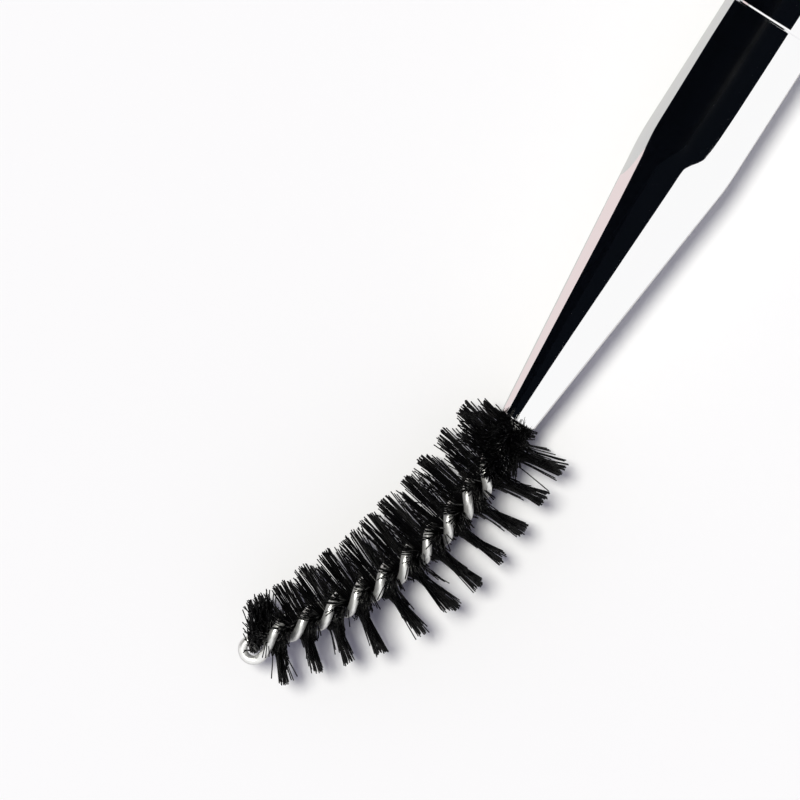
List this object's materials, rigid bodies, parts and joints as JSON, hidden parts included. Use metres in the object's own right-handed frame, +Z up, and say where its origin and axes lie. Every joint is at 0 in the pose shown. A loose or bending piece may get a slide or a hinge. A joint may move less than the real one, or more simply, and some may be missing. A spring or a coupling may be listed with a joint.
{
  "type": "twisted wire spoolie brush",
  "caption": "Bent spoolie brush for brows and lashes: bristles twisted into a folded wire, tapered ferrule, long round metal handle.",
  "frame": {"origin": "on the handle's axis, halfway along its straight grip", "axes": "+X along the handle towards its rounded end, +Z up as the brush lies on a table; the head bends towards +Y in the level plane"},
  "size_m": [0.1567, 0.0134, 0.0086],
  "materials": {
    "wire": "bright drawn stainless wire",
    "bristle": "black nylon filament",
    "ferrule": "mirror polished",
    "resin": "set adhesive",
    "handle": "mirror polished"
  },
  "bodies": {
    "root": {"twisted_wire": "wire", "bristle_turn_01": "bristle", "bristle_turn_02": "bristle", "bristle_turn_03": "bristle", "bristle_turn_04": "bristle", "bristle_turn_05": "bristle", "bristle_turn_06": "bristle", "bristle_turn_07": "bristle", "bristle_turn_08": "bristle", "bristle_turn_09": "bristle", "bristle_turn_10": "bristle", "bristle_turn_11": "bristle", "bristle_turn_12": "bristle", "ferrule": "ferrule", "resin_plug": "resin", "handle": "handle"}
  },
  "joints": []
}
